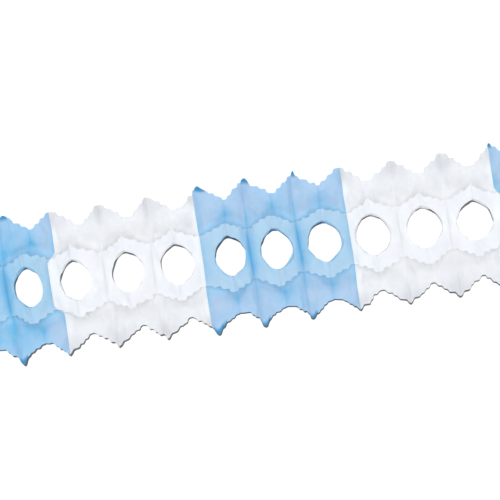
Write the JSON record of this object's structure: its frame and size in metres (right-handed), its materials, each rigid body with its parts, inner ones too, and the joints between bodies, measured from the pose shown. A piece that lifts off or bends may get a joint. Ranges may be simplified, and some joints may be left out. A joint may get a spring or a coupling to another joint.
{
  "type": "tissue paper garland",
  "caption": "Tissue paper garland pulled open into diamond cells, with stepped scallop edges, raised rings round see-through holes, and sections in two colours.",
  "frame": {"origin": "below the middle of the garland, on the surface that its back edges lie on", "axes": "+X along the garland, +Y across it, +Z from the back edges towards the front edges with the rings"},
  "size_m": [0.661, 0.16, 0.0363],
  "materials": {
    "blue_tissue": "matt, thin and slightly see-through",
    "white_tissue": "matt, thin and slightly see-through"
  },
  "bodies": {
    "root": {"blue_sheet_01": "blue_tissue", "blue_sheet_02": "blue_tissue", "blue_sheet_03": "blue_tissue", "blue_sheet_04": "blue_tissue", "white_sheet_05": "white_tissue", "white_sheet_06": "white_tissue", "white_sheet_07": "white_tissue", "white_sheet_08": "white_tissue", "white_sheet_09": "white_tissue", "white_sheet_10": "white_tissue", "blue_sheet_11": "blue_tissue", "blue_sheet_12": "blue_tissue", "blue_sheet_13": "blue_tissue", "blue_sheet_14": "blue_tissue", "blue_sheet_15": "blue_tissue", "blue_sheet_16": "blue_tissue", "white_sheet_17": "white_tissue", "white_sheet_18": "white_tissue", "white_sheet_19": "white_tissue", "white_sheet_20": "white_tissue", "white_sheet_21": "white_tissue", "white_sheet_22": "white_tissue", "blue_sheet_23": "blue_tissue", "blue_sheet_24": "blue_tissue"}
  },
  "joints": []
}
